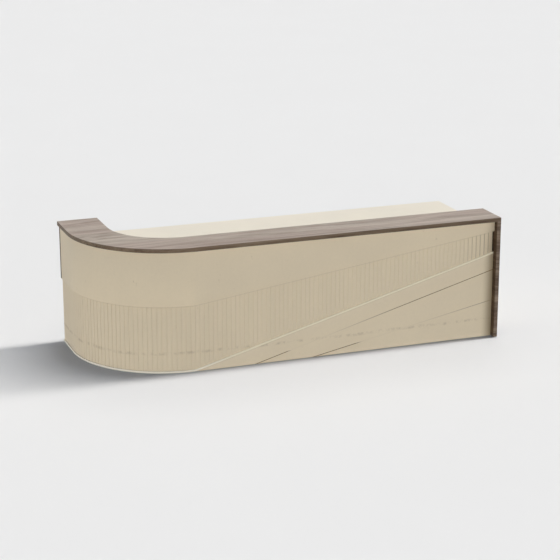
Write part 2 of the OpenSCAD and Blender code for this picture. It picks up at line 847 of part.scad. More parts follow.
// One knuckle and the part of a leaf that carries it. The leaf lies on y = -hinge_out, towards +X.
module knuckle(z, width) {
    web = knuckle_h - knuckle_gap;
    translate([0, 0, z - web / 2]) difference() {
        union() {
            cylinder(r = knuckle_r, h = web);
            translate([0, -hinge_out, 0]) cube([knuckle_r + gap, leaf_t, web]);
            translate([knuckle_r + gap, -hinge_out, 0]) cube([width - knuckle_r - gap, leaf_t, web]);
        }
        translate([0, 0, -gap]) cylinder(r = hinge_pin_r + running, h = web + 2 * gap);
    }
}

// A leaf with its knuckles at the given heights, joined by a plate clear of the other knuckles
module leaf(z, knuckles, width) {
    union() {
        for (k = knuckles) knuckle(z + k * knuckle_h, width);
        translate([knuckle_r + gap, -hinge_out, z - leaf_h / 2])
            cube([width - knuckle_r - gap, leaf_t, leaf_h]);
    }
}

module hinge_fixed_leaves() {
    color(steel) place() for (z = HINGE_Z) {
        translate([hinge_lx, hinge_y, 0]) mirror([1, 0, 0]) leaf(z, [-1, 1], unit_t);
        translate([hinge_rx, hinge_y, 0]) leaf(z, [-1, 1], unit_t);
    }
}

module hinge_pins() {
    color(steel) place() for (z = HINGE_Z) for (x = [hinge_lx, hinge_rx])
        translate([x, hinge_y, z - leaf_h / 2]) cylinder(r = hinge_pin_r, h = leaf_h);
}

module door_left_leaves() {
    color(steel) place() for (z = HINGE_Z)
        translate([hinge_lx, hinge_y, 0]) leaf(z, [0], leaf_w);
}

module door_right_leaves() {
    color(steel) place() for (z = HINGE_Z)
        translate([hinge_rx, hinge_y, 0]) mirror([1, 0, 0]) leaf(z, [0], leaf_w);
}

// Folded tray for cables, hung under the worktop in front of the bay's lining
module cable_tray() {
    tray_deep = 60;
    end_gap = 60;
    x0 = bay_x0 + end_gap;
    x1 = cupboard_x - end_gap;
    y0 = unit_y0 + skin_t;
    z0 = worktop_under_z - tray_deep;
    color(graphite) place() difference() {
        box(x0, y0, z0, x1, y0 + tray_d, worktop_under_z);
        box(x0 - gap, y0 + shell, z0 + shell, x1 + gap, y0 + tray_d - shell, worktop_under_z + gap);
        box(x0 - gap, y0 + tray_d / 2, z0 + tray_deep / 2, x1 + gap, y0 + tray_d + gap,
            worktop_under_z + gap);
    }
}

// Bracket places: [x, y, turn]. The upright leg points towards -X before the turn.
function gable_brackets() = [for (y = [ledge_w + bracket_in, unit_y0 - bracket_in]) [gable_x, y, 0]];
function stud_brackets() = [for (x = STUD_X)
    [x + stud_w / 2, front_setback + inner_off + stud_w, 270]];
function bracket_places() = concat(gable_brackets(), stud_brackets());

// Puts a bracket's corner at a place, under the worktop
module bracket_at(p) {
    translate([p[0], p[1], worktop_under_z]) rotate(p[2]) children();
}

// Hole through the flat leg and up into the worktop
module worktop_screw_hole() {
    translate([-screw_in, 0, -bracket_t - gap])
        cylinder(r = screw_r + running, h = screw_l + gap + running);
}

// Hole through the upright leg and into the wall it stands against
module wall_screw_hole() {
    translate([-bracket_t - gap, 0, -screw_in]) rotate([0, 90, 0])
        cylinder(r = screw_r + running, h = screw_l + gap + running);
}

module angle_brackets() {
    color(steel) place() for (p = bracket_places()) bracket_at(p) difference() {
        union() {
            translate([-bracket_leg, -bracket_w / 2, -bracket_t]) cube([bracket_leg, bracket_w, bracket_t]);
            translate([-bracket_t, -bracket_w / 2, -bracket_leg]) cube([bracket_t, bracket_w, bracket_leg]);
        }
        worktop_screw_hole();
        wall_screw_hole();
    }
}

module screw() {
    union() {
        cylinder(r = screw_r, h = screw_l);
        translate([0, 0, -screw_head_h]) cylinder(r = screw_head_r, h = screw_head_h);
    }
}

module bracket_screws() {
    color(steel) place() for (p = bracket_places()) bracket_at(p) {
        translate([-screw_in, 0, -bracket_t]) screw();
        translate([-bracket_t, 0, -screw_in]) rotate([0, 90, 0]) screw();
    }
}

ledge_top();
end_panel();
fascia();
fascia_end_cap();
return_end_post();
fluted_panel();
lower_panel();
accent_strip();
inlay_strips();
core_wall();
front_battens();
wall_studs();
sole_plate();
ledge_dividers();
worktop();
grommet_liners();
right_gable();
side_filler();
bay_lining();
unit_sides();
unit_bottoms();
unit_backs();
unit_top_rails();
shelves();
shelf_pins();
plinths();
foot_glides();
runner_outers();
hinge_fixed_leaves();
hinge_pins();
cable_tray();
angle_brackets();
bracket_screws();
drawer_bottom_front();
drawer_bottom_box();
drawer_bottom_runners();
drawer_bottom_pull();
drawer_middle_front();
drawer_middle_box();
drawer_middle_runners();
drawer_middle_pull();
drawer_top_front();
drawer_top_box();
drawer_top_runners();
drawer_top_pull();
cash_housing();
cash_front();
cash_tray();
cash_insert();
cash_runners();
cash_lock();
door_left();
door_left_leaves();
door_left_pull();
door_right();
door_right_leaves();
door_right_pull();
grommet_cap_left();
grommet_cap_right();
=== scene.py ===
"""Looks of the checkout counter: materials, soft edges, floor, light and camera around the CAD frame.

Lengths are in metres. A noise scale is how many of its cells lie in a metre.
"""
import json
import math

import bpy
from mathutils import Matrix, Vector


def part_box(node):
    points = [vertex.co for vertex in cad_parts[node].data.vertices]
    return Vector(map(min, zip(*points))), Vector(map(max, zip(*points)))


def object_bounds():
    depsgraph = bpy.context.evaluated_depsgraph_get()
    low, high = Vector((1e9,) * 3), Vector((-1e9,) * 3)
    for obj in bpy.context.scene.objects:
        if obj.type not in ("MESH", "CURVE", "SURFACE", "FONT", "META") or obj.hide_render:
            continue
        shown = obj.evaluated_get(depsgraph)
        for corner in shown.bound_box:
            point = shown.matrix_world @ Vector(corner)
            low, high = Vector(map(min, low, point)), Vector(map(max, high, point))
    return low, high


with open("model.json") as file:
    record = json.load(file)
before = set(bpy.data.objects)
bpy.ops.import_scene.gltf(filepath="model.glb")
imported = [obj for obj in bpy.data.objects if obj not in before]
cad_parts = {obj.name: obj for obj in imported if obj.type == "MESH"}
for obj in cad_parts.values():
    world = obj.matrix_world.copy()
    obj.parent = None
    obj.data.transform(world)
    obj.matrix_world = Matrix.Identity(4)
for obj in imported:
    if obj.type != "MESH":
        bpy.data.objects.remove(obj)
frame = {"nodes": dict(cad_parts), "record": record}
nodes = frame["nodes"]
cad_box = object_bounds()
low, high = cad_box


# ---------------------------------------------------------------- shader helpers

class Shader:
    """The node tree of a material or a world. Its methods return sockets, so that it reads as a formula."""

    def __init__(self, name, kind=bpy.data.materials, source="Object"):
        self.owner = kind.new(name)
        self.owner.use_nodes = True
        self.tree = self.owner.node_tree
        self.tree.nodes.clear()
        self.place = self.node("ShaderNodeTexCoord").outputs[source]
        self.facing = self.node("ShaderNodeNewGeometry").outputs["True Normal"]

    def node(self, kind, **settings):
        made = self.tree.nodes.new(kind)
        for name, value in settings.items():
            setattr(made, name, value)
        return made

    def feed(self, socket, value):
        """Links a socket to an input, or sets the input to a number or colour. None leaves it alone."""
        if isinstance(value, bpy.types.NodeSocket):
            self.tree.links.new(value, socket)
        elif value is not None:
            socket.default_value = value

    def math(self, operation, a, b=None, c=None, clamp=False):
        made = self.node("ShaderNodeMath", operation=operation, use_clamp=clamp)
        for socket, value in zip(made.inputs, (a, b, c)):
            self.feed(socket, value)
        return made.outputs[0]

    def times(self, first, *others):
        """Product of two or more values."""
        product = first
        for other in others:
            product = self.math("MULTIPLY", product, other)
        return product

    def scaled(self, scale, place=None, shift=(0.0, 0.0, 0.0)):
        """Coordinates times scale, which stretches a pattern where the scale is small."""
        made = self.node("ShaderNodeVectorMath", operation="MULTIPLY_ADD")
        self.feed(made.inputs[0], place or self.place)
        made.inputs[1].default_value = scale
        made.inputs[2].default_value = shift
        return made.outputs[0]

    def noise(self, scale, detail=2.0, rough=0.5, shift=(0.0, 0.0, 0.0), place=None, warp=0.0):
        """Noise from 0 to 1. The scale is a number, or three numbers for a stretched pattern."""
        spread = (scale, scale, scale) if isinstance(scale, (int, float)) else scale
        made = self.node("ShaderNodeTexNoise")
        self.feed(made.inputs["Vector"], self.scaled(spread, place, shift))
        made.inputs["Scale"].default_value = 1.0
        made.inputs["Detail"].default_value = detail
        made.inputs["Roughness"].default_value = rough
        made.inputs["Distortion"].default_value = warp
        return made.outputs["Fac"]

    def axis(self, name, source=None):
        """The X, Y or Z part of the place, or of another vector."""
        made = self.node("ShaderNodeSeparateXYZ")
        self.feed(made.inputs[0], source or self.place)
        return made.outputs[name]

    def span(self, value, start, end, to_min=0.0, to_max=1.0, easing="SMOOTHSTEP"):
        """From to_min where value is at start to to_max where it is at end, and level past both."""
        made = self.node("ShaderNodeMapRange", interpolation_type=easing, clamp=True)
        for socket, x in zip(made.inputs, (value, start, end, to_min, to_max)):
            self.feed(socket, x)
        return made.outputs[0]

    def ramp(self, value, stops):
        """Colour ramp through (position, colour) stops."""
        made = self.node("ShaderNodeValToRGB")
        self.feed(made.inputs[0], value)
        ends = made.color_ramp.elements
        while len(ends) < len(stops):
            ends.new(1.0)
        for element, (position, colour) in zip(ends, stops):
            element.position = position
            element.color = (*colour, 1.0)
        return made.outputs[0]

    def mix(self, share, a, b, blend="MIX"):
        """Colour a where share is 0 and b where it is 1."""
        made = self.node("ShaderNodeMix", data_type="RGBA", blend_type=blend)
        self.feed(made.inputs[0], share)
        for socket, value in ((made.inputs[6], a), (made.inputs[7], b)):
            self.feed(socket, (*value, 1.0) if isinstance(value, tuple) else value)
        return made.outputs[2]

    def shade(self, colour, amount):
        """Colour times a grey amount."""
        made = self.node("ShaderNodeVectorMath", operation="SCALE")
        self.feed(made.inputs[0], colour)
        self.feed(made.inputs[3], amount)
        return made.outputs[0]

    def bump(self, height, depth, strength):
        """Normal of a surface whose relief is height, from 0 to 1, times depth."""
        made = self.node("ShaderNodeBump")
        made.inputs["Strength"].default_value = strength
        made.inputs["Distance"].default_value = depth
        self.feed(made.inputs["Height"], height)
        return made.outputs[0]

    def surface(self, colour, rough, normal=None, metal=0.0, shine=0.5):
        made = self.node("ShaderNodeBsdfPrincipled")
        self.feed(made.inputs["Base Color"], colour)
        self.feed(made.inputs["Roughness"], rough)
        self.feed(made.inputs["Normal"], normal)
        self.feed(made.inputs["Metallic"], metal)
        made.inputs["Specular IOR Level"].default_value = shine
        return made.outputs[0]

    def finish(self, shown, kind="ShaderNodeOutputMaterial"):
        """Sends a surface or a background to the output, and returns the material or world."""
        output = self.node(kind)
        self.feed(output.inputs["Surface"], shown)
        return self.owner


def across(grain, along, side):
    """Pattern scale for a grain that runs along the axes named in grain, such as "x" or "xy"."""
    return tuple(along if axis in grain else side for axis in "xyz")


def tinted(colour, tint):
    """One colour times another, part by part."""
    return tuple(part * share for part, share in zip(colour, tint))


def darker(colour, share):
    return tuple(share * part for part in colour)


# Ranges that hold nearly all of a noise's values, most of them, and the middle ones.
NEARLY_ALL = (0.2, 0.8)
MOST = (0.25, 0.75)
MIDDLE = (0.3, 0.7)


# ---------------------------------------------------------------- places on the customer's side

# End of the quarter curve, and the face of the end panel that the front runs up to.
CURVE_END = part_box("lower_panel")[0].x
PANEL_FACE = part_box("end_panel")[0].x
# Outer face of the fluted panel, which its grooves are cut into.
FLUTE_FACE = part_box("fluted_panel")[0].y
# Lower edge of the fascia, round the curve and at the end panel.
FASCIA_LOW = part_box("fascia")[0].z
FASCIA_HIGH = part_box("fluted_panel")[1].z
# Thickness of the bright lipping, and its top, round the curve and at the end panel.
LIPPING = 0.015
LIPPING_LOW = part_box("accent_strip")[0].z + LIPPING
LIPPING_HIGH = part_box("accent_strip")[1].z
# Length over which the lipping loses its painted highlight after the curve.
CURVE_HIGHLIGHT_FADE = 0.4
# Height at which shoe toes meet the front, how far the scuffs spread, and how much their line waves.
SCUFF_HEIGHT = 0.163
SCUFF_SPREAD = 0.020
SCUFF_WAVE = 0.006
# Depth from the fluted panel's face at which its grooves begin to differ, and where they fully do.
GROOVE_START = 0.0003
GROOVE_FULL = 0.0020
# Places along the straight between which the groove walls get painted light. Past the second, painted shade
# fills the grooves.
LIT_WALLS_START = 0.0
LIT_WALLS_END = 1.3
# Reach of the painted shade in the corner beside the end panel, and heights between which it gets less.
CORNER_REACH = 0.105
CORNER_FULL = 0.75
CORNER_LESS = 0.98
# Heights of the bronze that shoes rub pale: its foot, and where that begins and stops fading.
RUBBED_FOOT = 0.078
RUBBED_FULL = 0.15
RUBBED_TOP = 0.42


def rising_line(s, start, end):
    """Height of a line on the front that is level round the curve, then climbs to the end panel."""
    return s.span(s.axis("X"), CURVE_END, PANEL_FACE, start, end, easing="LINEAR")


def under_fascia(s):
    """1 down to 5 mm below the fascia's lower edge, and 0 from 16 mm below it."""
    below = s.math("SUBTRACT", rising_line(s, FASCIA_LOW, FASCIA_HIGH), s.axis("Z"))
    return s.span(below, 0.016, 0.005)


def above_lipping(s):
    """Height above the top of the lipping."""
    return s.math("SUBTRACT", s.axis("Z"), rising_line(s, LIPPING_LOW, LIPPING_HIGH))


# ---------------------------------------------------------------- colours

# Walnut from its darkest to its lightest figure, each with the figure's value there.
WALNUT_TONES = [
    (0.32, (0.235, 0.175, 0.135)),
    (0.45, (0.370, 0.298, 0.244)),
    (0.55, (0.480, 0.402, 0.338)),
    (0.68, (0.600, 0.525, 0.455)),
]
WALNUT_ROSE = (0.500, 0.375, 0.325)
WALNUT_PORE = (0.125, 0.088, 0.064)
# Darkening of the faces not across broad_axis: edge band on the ledge, in part painted shade, and painted
# shade on the end panel's broad faces.
EDGE_BAND_AND_SHADE = (0.46, 0.385, 0.285)
LEDGE_TINT = (0.93, 0.94, 0.93)
# Painted shade: the end panel is the same walnut laminate as the ledge, made darker because it stands in
# shade.
PANEL_SHADE_TINT = (0.47, 0.40, 0.32)
CAP_TINT = (0.60, 0.46, 0.29)

CREAM = (0.82, 0.688, 0.485)
IVORY = (1.0, 0.90, 0.68)
# Painted highlight: the lipping round the curve is whiter, as if catching light from the floor there.
CURVE_HIGHLIGHT_IVORY = (1.0, 0.93, 0.78)
CARCASS = (0.76, 0.69, 0.55)
WORKTOP = (0.885, 0.82, 0.69)
GREYED_CREAM = (0.45, 0.42, 0.37)

# What smudges and scuffs do to the lacquer's own colour, the colour of painted shade, and the painted light
# on the shaded wall of a groove.
SMUDGE_TINT = (0.66, 0.62, 0.56)
PAINTED_SHADE_TINT = (0.40, 0.35, 0.26)
GROOVE_WALL_LIGHT_TINT = (1.20, 1.25, 1.27)

# Dark and light figure of the boards.
PLYWOOD_TONES = ((0.42, 0.29, 0.17), (0.66, 0.50, 0.32))
DRAWER_TONES = ((0.52, 0.40, 0.26), (0.72, 0.60, 0.44))

BRONZE = (0.36, 0.25, 0.14)
INLAY_BRONZE = (0.30, 0.20, 0.10)
ZINC_TONES = [
    (0.30, (0.48, 0.50, 0.54)),
    (0.55, (0.62, 0.63, 0.64)),
    (0.75, (0.70, 0.68, 0.62)),
]
BOARD_BLACK = (0.045, 0.045, 0.048)
STEEL_BLACK = (0.038, 0.038, 0.042)
PLASTIC_BLACK = (0.028, 0.028, 0.030)
PALE_RUB = (0.30, 0.29, 0.27)


# ---------------------------------------------------------------- materials

def walnut(name, grain, broad_axis, tint, contrast):
    """Grey-brown walnut laminate. Faces across broad_axis show the board; the others are darker: on the
    ledge that is its edge band, in part painted shade; on the end panel it is painted shade on its broad
    faces.
    """
    s = Shader(name)
    sway = s.noise(across(grain, 0.9, 2.6), detail=1.0)
    bent = s.node("ShaderNodeVectorMath", operation="MULTIPLY_ADD")
    for socket, value in zip(bent.inputs, (sway, across(grain, 0.0, 0.16), s.place)):
        s.feed(socket, value)
    place = bent.outputs[0]
    bands = s.noise(across(grain, 0.55, 13.0), detail=3.0, rough=0.6, place=place)
    streaks = s.noise(across(grain, 2.2, 75.0), detail=3.0, rough=0.6, place=place)
    pores = s.noise(across(grain, 14.0, 520.0), detail=2.0, rough=0.6, place=place)

    figure = s.math("ADD", s.times(bands, 0.55), s.times(streaks, 0.45))
    figure = s.math("MULTIPLY_ADD", s.math("SUBTRACT", figure, 0.5), contrast, 0.5)
    wood = s.ramp(figure, [(at, tinted(tone, tint)) for at, tone in WALNUT_TONES])
    rosy = s.span(s.noise(across(grain, 0.4, 5.0), shift=(3.1, 7.7, 1.3)), 0.42, 0.66)
    wood = s.mix(s.times(rosy, 0.4), wood, tinted(WALNUT_ROSE, tint))
    open_pores = s.span(pores, 0.60, 0.72)
    wood = s.mix(s.times(open_pores, 0.35), wood, tinted(WALNUT_PORE, tint))

    # Faces picked by their normal get darker: edge band, in part painted shade, and painted shade on the end
    # panel's broad faces.
    band_and_shade_mask = s.span(s.math("ABSOLUTE", s.axis(broad_axis, s.facing)), 0.75, 0.45)
    band_and_shade = s.mix(1.0, wood, EDGE_BAND_AND_SHADE, blend="MULTIPLY")
    colour = s.mix(band_and_shade_mask, wood, band_and_shade)
    rough = s.math("ADD", s.times(open_pores, 0.16), s.span(bands, *MIDDLE, 0.42, 0.50))
    relief = s.math("SUBTRACT", s.times(streaks, 0.4), open_pores)
    return s.finish(s.surface(colour, rough, s.bump(relief, 0.00012, 0.6), shine=0.3))


def smudged(s):
    """1 on finger smudges, which gather in patches, and 0 between them."""
    spots = s.span(s.noise((26.0, 26.0, 14.0), detail=3.0, rough=0.65), 0.64, 0.76)
    patch = s.span(s.noise(2.3, detail=1.0, shift=(5.0, 2.0, 8.0)), 0.44, 0.60)
    return s.times(spots, patch)


def toe_scuffed(s):
    """1 along a broken, slightly wavy line of scuffs at SCUFF_HEIGHT, and 0 away from it."""
    wave = s.noise((3.0, 3.0, 0.0), detail=1.0, shift=(2.0, 6.0, 0.0))
    height = s.math("ADD", s.axis("Z"), s.span(wave, *MIDDLE, -SCUFF_WAVE, SCUFF_WAVE))
    lane = s.span(s.math("ABSOLUTE", s.math("SUBTRACT", height, SCUFF_HEIGHT)), SCUFF_SPREAD, 0.001)
    broken = s.span(s.noise((13.0, 13.0, 12.0), detail=3.0, rough=0.7), 0.42, 0.66)
    return s.times(lane, broken)


def painted_corner_shade(s):
    """Painted shade: 1 in the corner beside the end panel, 0 out of its reach, and less close under the
    ledge.
    """
    near_panel = s.span(s.axis("X"), PANEL_FACE - CORNER_REACH, PANEL_FACE + 0.01)
    return s.times(near_panel, s.span(s.axis("Z"), CORNER_LESS, CORNER_FULL, 0.3, 1.0))


def painted_shade_below_lipping(s):
    """A trace of painted shade just below the lipping."""
    away = s.math("ABSOLUTE", s.math("ADD", above_lipping(s), LIPPING))
    return s.span(away, 0.012, 0.003, 0.0, 0.14)


def fluted(s, base, colour, painted_shade):
    """The fluted panel's colour and painted shade, from those of a plain panel.

    Painted light: the groove walls that face away from the light are brightened along the middle of the
    straight. Painted shade fills the grooves beside the end panel and the line under the fascia.
    Painted light brightens the panel's foot, just above the lipping.
    """
    along = s.axis("X")
    on_straight = s.math("GREATER_THAN", along, CURVE_END)
    depth = s.math("SUBTRACT", s.axis("Y"), FLUTE_FACE)
    groove = s.times(s.span(depth, GROOVE_START, GROOVE_FULL), on_straight)
    # Painted light on the groove walls that face away from the light, along the middle of the straight.
    shaded = s.span(s.axis("X", s.facing), 0.05, -0.45)
    lit_walls_zone = s.times(s.span(along, CURVE_END, LIT_WALLS_START), s.span(along, PANEL_FACE, LIT_WALLS_END))
    colour = s.mix(s.times(groove, shaded, lit_walls_zone), colour, tinted(base, GROOVE_WALL_LIGHT_TINT))

    # Painted shade in the grooves beside the end panel, and a painted shadow line under the fascia.
    shaded_grooves = s.times(groove, s.span(along, LIT_WALLS_END, PANEL_FACE, 0.0, 0.6))
    painted_shade = s.math("MAXIMUM", painted_shade, shaded_grooves)
    painted_shade = s.math("MAXIMUM", painted_shade, s.times(under_fascia(s), 0.20))

    # Painted light: brighter just above the lipping, lifting the shade there.
    painted_foot_light = s.span(s.math("ABSOLUTE", above_lipping(s)), 0.016, 0.004)
    colour = s.shade(colour, s.span(s.times(painted_foot_light, on_straight), 0.0, 1.0, 1.0, 1.12))
    return colour, painted_shade


def lacquer(name, base, smudges, scuffs=0.0, corner=0.0, curve_highlight=0.0, grooved=False):
    """Satin cream lacquer on board: mottling, orange peel, smudges and toe scuffs, with painted shade in
    corners and along edges.

    The numbers say how strong each mark is, and how strong the painted highlight round the curve is.
    """
    s = Shader(name)
    cloud = s.noise(1.7, detail=3.0, rough=0.6)
    fine = s.span(s.noise(46.0, detail=2.0), *NEARLY_ALL, -0.012, 0.012)
    colour = s.shade(base, s.math("ADD", s.span(cloud, *MOST, 0.975, 1.02), fine))
    # Painted highlight: the lipping is whiter round the curve.
    curve_highlight_mask = s.span(s.axis("X"), CURVE_END + CURVE_HIGHLIGHT_FADE, CURVE_END, 0.0, curve_highlight)
    colour = s.mix(curve_highlight_mask, colour, CURVE_HIGHLIGHT_IVORY)

    worn = s.math("ADD", s.times(smudged(s), smudges), s.times(toe_scuffed(s), scuffs), clamp=True)
    colour = s.mix(worn, colour, tinted(base, SMUDGE_TINT))
    # Painted shade: darker in the corner beside the end panel, and along the lipping's lower edge or, on the
    # fluted panel, in its grooves and under the fascia.
    painted_shade = s.times(painted_corner_shade(s), corner)
    if grooved:
        colour, painted_shade = fluted(s, base, colour, painted_shade)
    else:
        painted_shade = s.math("MAXIMUM", painted_shade, painted_shade_below_lipping(s))
    colour = s.mix(painted_shade, colour, tinted(base, PAINTED_SHADE_TINT))

    rough = s.math("ADD", s.span(cloud, *MIDDLE, 0.44, 0.52), s.times(worn, 0.2))
    peel = s.noise(620.0, detail=1.0)
    return s.finish(s.surface(colour, rough, s.bump(peel, 0.00004, 0.5), shine=0.4))


def laminate(name, base, grain, depth, wear):
    """Cream melamine with a shallow pressed grain, fine specks and slightly greyed patches."""
    s = Shader(name)
    cloud = s.noise(2.1, detail=3.0, rough=0.6)
    press = s.noise(across(grain, 11.0, 210.0), detail=3.0, rough=0.6)
    speck = s.noise(380.0, detail=2.0, rough=0.7)
    tone = s.math("ADD", s.span(cloud, *MOST, 0.98, 1.015), s.span(press, *NEARLY_ALL, -0.02, 0.02))
    tone = s.math("ADD", tone, s.span(speck, 0.3, 0.8, -0.012, 0.012))
    greyed = s.span(s.noise(4.5, detail=4.0, rough=0.7, shift=(9.0, 4.0, 2.0)), 0.55, 0.75)
    colour = s.mix(s.times(greyed, wear), s.shade(base, tone), GREYED_CREAM)
    rough = s.math("ADD", s.span(cloud, *MIDDLE, 0.42, 0.50), s.times(greyed, 0.08))
    return s.finish(s.surface(colour, rough, s.bump(press, depth, 0.5)))


def timber(name, tones, grain, layers_axis=None):
    """Plain board or plywood. With layers_axis, faces across Z show plies stacked along that axis."""
    dark, light = tones
    s = Shader(name)
    figure = s.noise(across(grain, 1.1, 24.0), detail=3.0, rough=0.6, warp=0.4)
    fibre = s.noise(across(grain, 12.0, 340.0), detail=2.0)
    wood = s.ramp(figure, [(0.30, dark), (0.70, light)])
    wood = s.shade(wood, s.span(fibre, *NEARLY_ALL, 0.93, 1.05))
    knots = s.span(s.noise(across(grain, 2.5, 7.0), detail=0.0, shift=(1.0, 5.0, 3.0)), 0.76, 0.82)
    wood = s.mix(s.times(knots, 0.5), wood, darker(dark, 0.4))
    if layers_axis is not None:
        plies = s.node("ShaderNodeTexWave", wave_type="BANDS", bands_direction=layers_axis)
        s.feed(plies.inputs["Vector"], s.place)
        plies.inputs["Scale"].default_value = 105.0
        cut_edge = s.span(s.math("ABSOLUTE", s.axis("Z", s.facing)), 0.7, 0.9)
        wood = s.mix(s.times(plies.outputs["Fac"], cut_edge, 0.55), wood, darker(dark, 0.45))
    rough = s.span(fibre, *NEARLY_ALL, 0.55, 0.70)
    return s.finish(s.surface(wood, rough, s.bump(fibre, 0.00012, 0.6)))


def brushed(name, base, grain, rubbed=False):
    """Brushed metal with fine scratches and cloudy tarnish; a rubbed one is pale near the floor."""
    s = Shader(name)
    brush = s.noise(across(grain, 30.0, 2600.0), detail=2.0, rough=0.7)
    cloud = s.noise(34.0, detail=3.0, rough=0.6)
    tarnish = s.span(cloud, 0.50, 0.72)
    colour = s.shade(base, s.span(brush, *NEARLY_ALL, 0.86, 1.10))
    colour = s.mix(s.times(tarnish, 0.3), colour, darker(base, 0.55))
    rough = s.math("ADD", s.span(brush, *NEARLY_ALL, 0.29, 0.41), s.times(tarnish, 0.15))
    metal = 1.0
    if rubbed:
        height = s.axis("Z")
        fading = s.span(height, RUBBED_TOP, RUBBED_FULL, 0.0, 0.96)
        pale = s.times(s.span(height, RUBBED_FOOT, RUBBED_FOOT + 0.014), fading)
        colour = s.mix(pale, colour, CREAM)
        metal = s.math("SUBTRACT", 1.0, pale)
    return s.finish(s.surface(colour, rough, s.bump(brush, 0.00002, 0.6), metal=metal))


def zinc(name):
    """Bright zinc plate with a mottled, slightly blue passivation and grease-dulled patches."""
    s = Shader(name)
    cloud = s.noise(60.0, detail=4.0, rough=0.6)
    roll = s.noise((900.0, 40.0, 900.0), detail=2.0)
    colour = s.shade(s.ramp(cloud, ZINC_TONES), s.span(roll, *NEARLY_ALL, 0.93, 1.05))
    rough = s.span(cloud, *MIDDLE, 0.28, 0.46)
    return s.finish(s.surface(colour, rough, s.bump(roll, 0.00002, 0.5), metal=1.0))


def powder(name, base, grit, rough, depth, rubs):
    """Dark powder coat, moulding or laminate with fine grit and pale rubbed patches."""
    s = Shader(name)
    grain = s.noise(grit, detail=2.0)
    cloud = s.noise(7.0, detail=3.0, rough=0.6)
    colour = s.shade(base, s.span(cloud, *MOST, 0.85, 1.2))
    colour = s.shade(colour, s.span(grain, *NEARLY_ALL, 0.88, 1.12))
    worn = s.noise((30.0, 30.0, 14.0), detail=4.0, rough=0.7, shift=(4.0, 1.0, 6.0))
    colour = s.mix(s.times(s.span(worn, 0.60, 0.72), rubs), colour, PALE_RUB)
    dulled = s.span(cloud, *MIDDLE, rough - 0.05, rough + 0.08)
    return s.finish(s.surface(colour, dulled, s.bump(grain, depth, 0.6)))


MATERIALS = {
    "ledge_walnut": walnut("ledge_walnut", "x", "Z", LEDGE_TINT, contrast=1.3),
    "panel_walnut": walnut("panel_walnut", "xy", "Y", PANEL_SHADE_TINT, contrast=2.2),
    "cap_walnut": walnut("cap_walnut", "xy", "Y", CAP_TINT, contrast=1.5),
    "front_board": lacquer("front_board", CREAM, smudges=0.45, scuffs=0.6, corner=0.78),
    "fluted_board": lacquer("fluted_board", CREAM, smudges=0.3, scuffs=0.6, corner=0.4, grooved=True),
    "accent_lipping": lacquer("accent_lipping", IVORY, smudges=0.2, curve_highlight=0.8),
    "painted_board": laminate("painted_board", CARCASS, "z", depth=0.00005, wear=0.04),
    "worktop_laminate": laminate("worktop_laminate", WORKTOP, "x", depth=0.00003, wear=0.05),
    "bronze": brushed("bronze", BRONZE, "x"),
    "rubbed_inlay": brushed("rubbed_inlay", INLAY_BRONZE, "x", rubbed=True),
    "plywood": timber("plywood", PLYWOOD_TONES, "z"),
    "drawer_ply": timber("drawer_ply", DRAWER_TONES, "y", layers_axis="X"),
    "dark_board": powder("dark_board", BOARD_BLACK, grit=240.0, rough=0.45, depth=0.00003, rubs=0.25),
    "dark_steel": powder("dark_steel", STEEL_BLACK, grit=1400.0, rough=0.48, depth=0.00006, rubs=0.10),
    "dark_plastic": powder("dark_plastic", PLASTIC_BLACK, grit=1900.0, rough=0.55, depth=0.00005, rubs=0.08),
    "zinc_steel": zinc("zinc_steel"),
}
# Nodes whose material isn't the one named by their slot in the record.
OWN_MATERIAL = {
    "ledge_top": "ledge_walnut",
    "end_panel": "panel_walnut",
    "fascia_end_cap": "cap_walnut",
    "inlay_strips": "rubbed_inlay",
}

for part in frame["record"]["subparts"]:
    name = part["node"]
    look = OWN_MATERIAL.get(name, part["material_slot"])
    nodes[name].data.materials.clear()
    nodes[name].data.materials.append(MATERIALS[look])


# ---------------------------------------------------------------- soft edges

# Width of the rounded edges, and the boards and mouldings that have it.
ARRIS = {
    0.0015: ["ledge_top", "end_panel", "worktop", "cash_front"],
    0.001: [
        "fascia", "fascia_end_cap", "return_end_post", "door_left", "door_right",
        "drawer_bottom_front", "drawer_middle_front", "drawer_top_front",
    ],
    0.0008: [
        "lower_panel", "right_gable", "side_filler", "unit_sides", "unit_bottoms", "unit_top_rails",
        "shelves", "ledge_dividers", "plinths", "cash_tray", "cash_insert",
    ],
}
# Corners closer than this are joined, and edges that turn by more than this angle are rounded.
SAME_CORNER = 0.00002
SHARP_EDGE = math.radians(40)


def soften(name, width):
    """Joins the split corners of a CAD mesh and rounds its sharp edges, as edge banding is."""
    weld = nodes[name].modifiers.new("join", "WELD")
    weld.merge_threshold = SAME_CORNER
    bevel = nodes[name].modifiers.new("arris", "BEVEL")
    bevel.width = width
    bevel.segments = 2
    bevel.limit_method = "ANGLE"
    bevel.angle_limit = SHARP_EDGE
    bevel.harden_normals = True


for width, names in ARRIS.items():
    for name in names:
        soften(name, width)


# ---------------------------------------------------------------- floor, light and camera

WHITE = (1.0, 1.0, 1.0)
# Brightness that the camera sees past the floor's edge.
PALE = 0.8388
FLOOR_ALBEDO = (0.86, 0.86, 0.86)
FLOOR_RADIUS = 150.0
# Painted shade: tint of the floor where the counter closes it in, and the distance that counts as near for
# that.
NEAR_FLOOR_SHADE = (0.70, 0.73, 0.79)
NEAR_DISTANCE = 1.1
# Light that a surface gets from the floor directly, and by way of another surface.
BOUNCE = 0.57
DEEP_BOUNCE = 0.30

# Brightness and colour of the sky.
SKY = 0.084
HIGH_SKY = (0.70, 0.97, 1.40)
# Ring of light low around the counter: it fades between two sines of the height above the horizon.
RING = 2.56
RING_TOP = 0.26
RING_FULL = 0.14
# Direction behind the counter, and the share of the ring's light that comes from there.
BEHIND_X = 0.35
BEHIND_Y = 0.94
RING_BEHIND = 0.45

